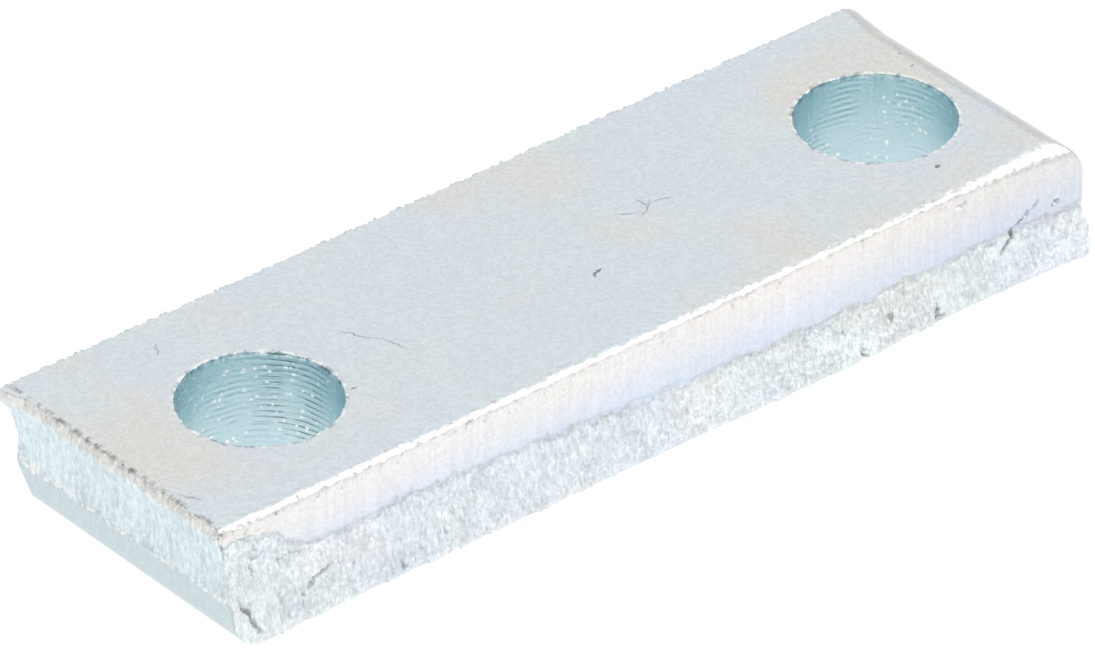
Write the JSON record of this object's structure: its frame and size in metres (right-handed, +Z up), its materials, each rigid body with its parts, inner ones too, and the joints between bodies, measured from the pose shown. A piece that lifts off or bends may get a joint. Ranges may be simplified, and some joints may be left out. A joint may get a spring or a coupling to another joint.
{
  "type": "drilled mounting bar",
  "caption": "Short flat steel bar with sheared edges and a round clearance hole near each end, for bolting parts together or spacing them.",
  "frame": {"origin": "midway between the two hole axes, on the bottom face that the bar rests on", "axes": "+X along the length, towards the end that is nearer its hole; +Y across the width, towards the side whose burr is at the top; +Z up, along the hole axes"},
  "size_m": [0.0708, 0.0225, 0.0084],
  "materials": {
    "zinc_plated_steel": "bright zinc plating with a pale blue passivation, satin on the flat faces, sheared and torn on the sides"
  },
  "bodies": {
    "root": {"mounting_bar": "zinc_plated_steel"}
  },
  "joints": []
}
